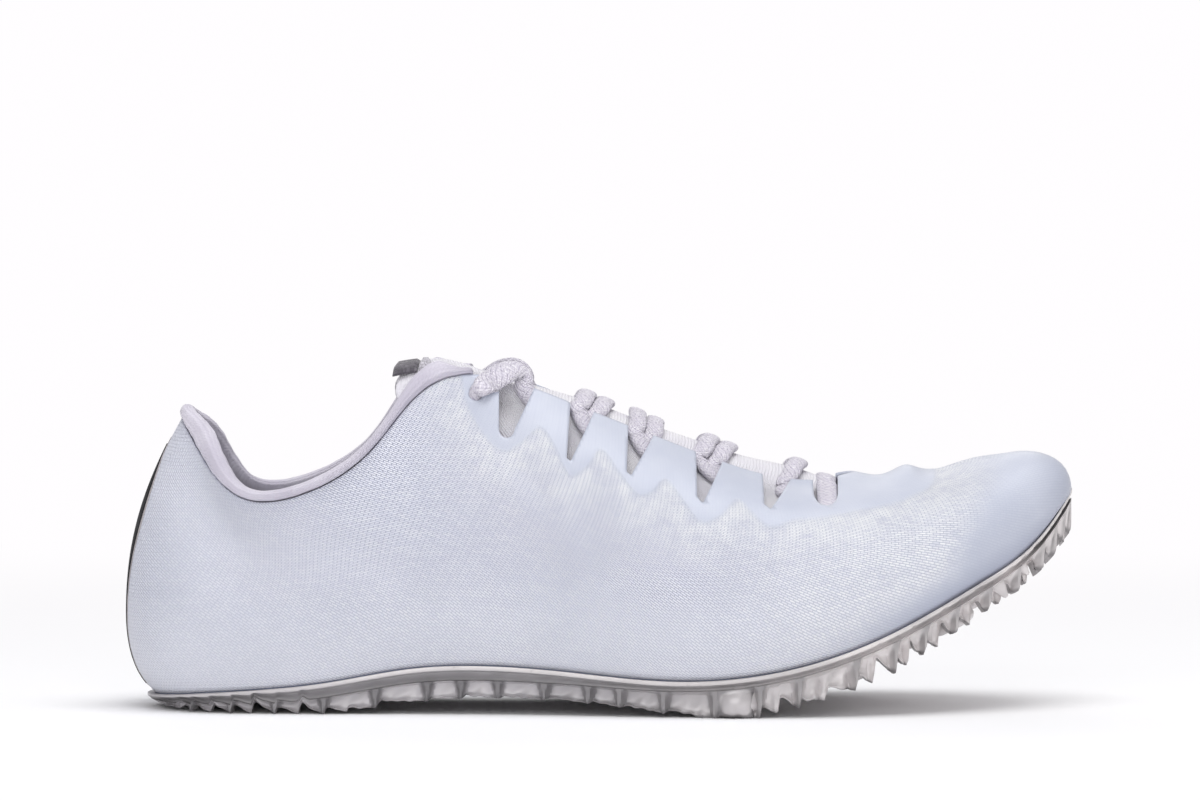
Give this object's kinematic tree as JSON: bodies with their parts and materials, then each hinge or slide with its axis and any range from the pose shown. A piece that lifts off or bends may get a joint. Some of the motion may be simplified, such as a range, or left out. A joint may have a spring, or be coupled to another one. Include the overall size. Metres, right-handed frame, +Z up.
{
  "type": "track spike shoe",
  "caption": "Low-cut sprint shoe: knit upper with notched lacing, padded collar and tongue, on a stiff curved plate with a ribbed edge and sockets for spikes.",
  "frame": {"origin": "middle of the footprint's bounding box, on the floor", "axes": "+X from heel to toe, +Z up, -Y to the shoe's outer (lateral) side"},
  "size_m": [0.2761, 0.0927, 0.1019],
  "materials": {
    "plate": "moulded plastic plate with a satin metallic look",
    "knit": "shiny fine knit, pale blue",
    "collar": "soft padded knit",
    "tongue": "soft knit",
    "tab": "dark woven tape",
    "sockliner": "textile over thin foam",
    "lace": "braided lace"
  },
  "bodies": {
    "root": {"spike_plate": "plate", "upper": "knit", "collar_binding": "collar", "tongue": "tongue", "tongue_tab": "tab", "insole": "sockliner", "laces": "lace"}
  },
  "joints": []
}
